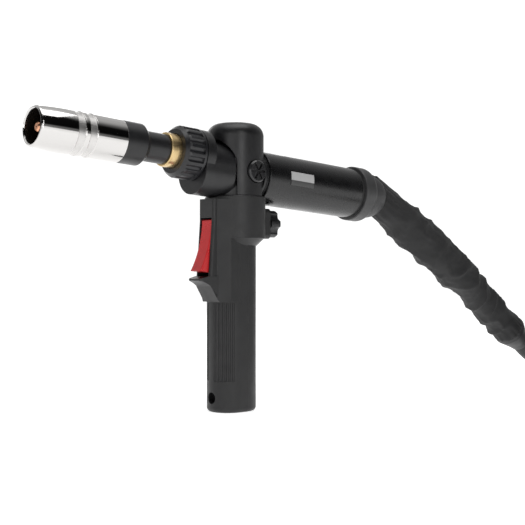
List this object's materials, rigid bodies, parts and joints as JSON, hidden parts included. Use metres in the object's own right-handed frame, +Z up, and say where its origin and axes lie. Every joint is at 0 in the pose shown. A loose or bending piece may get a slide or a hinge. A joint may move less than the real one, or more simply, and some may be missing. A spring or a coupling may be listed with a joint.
{
  "type": "mig welding torch",
  "caption": "Pistol-grip push-pull welding torch with straight barrel, chromed gas nozzle, in-line drive motor, red trigger, speed knob and sleeved hose lead with machine connector.",
  "frame": {"origin": "centre of the grip's flat bottom face", "axes": "+Z up along the grip, +X rearwards towards the cable, so the nozzle points along -X and 4.4 degrees up; -Y is the side with the pressure screw"},
  "size_m": [0.7034, 0.2335, 0.2025],
  "materials": {
    "chrome_plated": "polished chrome plate",
    "copper": "machined copper alloy",
    "brass": "machined brass",
    "insulator_black": "satin moulded insulator",
    "copper_tube": "drawn copper",
    "seal_rubber": "matt rubber",
    "liner_nylon": "natural nylon",
    "nut_black": "satin glass-filled nylon",
    "housing_black": "satin black coated casting",
    "steel": "machined steel",
    "zinc_cast": "as cast",
    "gear_nylon": "moulded acetal",
    "screw_black": "polished black screw",
    "tube_anodised": "black anodised satin",
    "badge_grey": "two-tone grey label",
    "motor_steel": "zinc plated can",
    "cap_plastic": "matt moulded cap",
    "boot_rubber": "matt moulded rubber",
    "gas_hose": "smooth hose",
    "grip_black": "fine-textured glass-filled nylon",
    "trigger_red": "satin red moulding",
    "switch_plastic": "moulded plastic",
    "knob_black": "moulded knob",
    "sleeve_fabric": "loose woven cover",
    "cable_rubber": "smooth rubber sheath",
    "connector_plastic": "moulded housing"
  },
  "bodies": {
    "handle": {"grip_front": "grip_black", "grip_back": "grip_black", "grip_screw": "steel", "head_screws": "steel", "head_body": "housing_black", "outlet_guide": "steel", "inlet_guide": "steel", "shaft_bearings": "steel", "pinion_bearings": "steel", "arm_pivot": "steel", "gearbox": "motor_steel", "drive_motor": "motor_steel", "motor_tube": "tube_anodised", "tube_set_screw": "steel", "tube_badge": "badge_grey", "tube_seal": "seal_rubber", "rear_cap": "cap_plastic", "power_lead": "copper_tube", "gas_line": "gas_hose", "wire_conduit": "liner_nylon", "trigger_pin": "steel", "trigger_spring": "steel", "microswitch": "switch_plastic", "switch_screws": "steel", "potentiometer": "switch_plastic", "pot_nut": "steel", "cable_boot": "boot_rubber", "cable_sleeve": "sleeve_fabric", "sleeve_cuff": "boot_rubber", "cable_lead": "cable_rubber", "cable_coil": "cable_rubber", "cable_tail": "cable_rubber", "connector_body": "connector_plastic", "connector_pins": "brass"},
    "hood": {"drive_hood": "housing_black", "pressure_spring": "steel"},
    "pressure_adjuster": {"pressure_screw": "screw_black"},
    "roll_drive": {"roll_shaft": "steel", "crown_gear": "gear_nylon", "drive_roll": "steel", "roll_screw": "steel"},
    "pinion": {"drive_pinion": "steel"},
    "arm": {"pressure_arm": "zinc_cast", "idler_pin": "steel"},
    "idler": {"idler_roll": "steel"},
    "barrel": {"conductor_tube": "copper_tube", "barrel_adapter": "brass", "barrel_sleeve": "insulator_black", "nozzle_insulator": "insulator_black", "gas_diffuser": "brass", "barrel_seals": "seal_rubber", "barrel_liner": "liner_nylon"},
    "barrel_nut": {"barrel_nut": "nut_black"},
    "nozzle": {"gas_nozzle": "chrome_plated"},
    "tip": {"contact_tip": "copper"},
    "trigger": {"trigger": "trigger_red"},
    "plunger": {"switch_plunger": "switch_plastic"},
    "knob": {"speed_knob": "knob_black", "pot_shaft": "steel"},
    "connector_nut": {"connector_nut": "connector_plastic"}
  },
  "joints": [
    {"name": "trigger_pull", "type": "hinge", "parent": "handle", "child": "trigger", "pos_m": [-0.0146, 0, 0.1306], "axis": [0, -1, 0], "range_deg": [0, 7], "stiffness_Nm_per_rad": 0.4, "springref_deg": -17.19},
    {"name": "plunger_press", "type": "slide", "parent": "handle", "child": "plunger", "axis": [1, 0, 0], "range_m": [0, 0.0013]},
    {"name": "speed_knob_turn", "type": "hinge", "parent": "handle", "child": "knob", "pos_m": [0.034, 0, 0.1324], "axis": [1, 0, 0], "range_deg": [-140, 140]},
    {"name": "drive_roll_spin", "type": "hinge", "parent": "handle", "child": "roll_drive", "pos_m": [0.0034, 0.007, 0.1672], "axis": [0.0767, 0, 0.9971], "continuous": true},
    {"name": "pinion_spin", "type": "hinge", "parent": "handle", "child": "pinion", "pos_m": [0.02309, 0.007, 0.16243], "axis": [0.9971, 0, -0.0767], "continuous": true},
    {"name": "arm_swing", "type": "hinge", "parent": "handle", "child": "arm", "pos_m": [-0.00537, -0.0104, 0.16787], "axis": [-0.0767, 0, -0.9971], "range_deg": [0, 5], "stiffness_Nm_per_rad": 0.6, "springref_deg": -11.46, "deforming": ["pressure_spring"]},
    {"name": "idler_spin", "type": "hinge", "parent": "arm", "child": "idler", "pos_m": [0.0034, -0.00615, 0.1672], "axis": [0.0767, 0, 0.9971], "continuous": true},
    {"name": "hood_lift", "type": "slide", "parent": "handle", "child": "hood", "axis": [0, 0, 1], "range_m": [0, 0.055]},
    {"name": "pressure_screw_turn", "type": "hinge", "parent": "hood", "child": "pressure_adjuster", "pos_m": [0.0066, -0.018, 0.168], "axis": [0, -1, 0], "continuous": true},
    {"name": "barrel_nut_turn", "type": "hinge", "parent": "handle", "child": "barrel_nut", "pos_m": [-0.04082, 0, 0.17903], "axis": [0.9971, 0, -0.0767], "continuous": true},
    {"name": "barrel_turn", "type": "hinge", "parent": "handle", "child": "barrel", "pos_m": [-0.04082, 0, 0.17903], "axis": [0.9971, 0, -0.0767], "range_deg": [-180, 180]},
    {"name": "nozzle_pull", "type": "slide", "parent": "barrel", "child": "nozzle", "axis": [-0.9971, 0, 0.0767], "range_m": [0, 0.06]},
    {"name": "tip_turn", "type": "hinge", "parent": "barrel", "child": "tip", "pos_m": [-0.13554, 0, 0.18632], "axis": [0.9971, 0, -0.0767], "continuous": true},
    {"name": "connector_nut_turn", "type": "hinge", "parent": "handle", "child": "connector_nut", "pos_m": [0.29648, -0.16944, 0.0227], "axis": [-0.96, 0.28, 0], "continuous": true}
  ],
  "couplings": [
    {"joint": "plunger_press", "follows": "trigger_pull", "m_per_rad": 0.01},
    {"joint": "pinion_spin", "follows": "drive_roll_spin", "ratio": -2.5},
    {"joint": "idler_spin", "follows": "drive_roll_spin", "ratio": -1.2727}
  ]
}
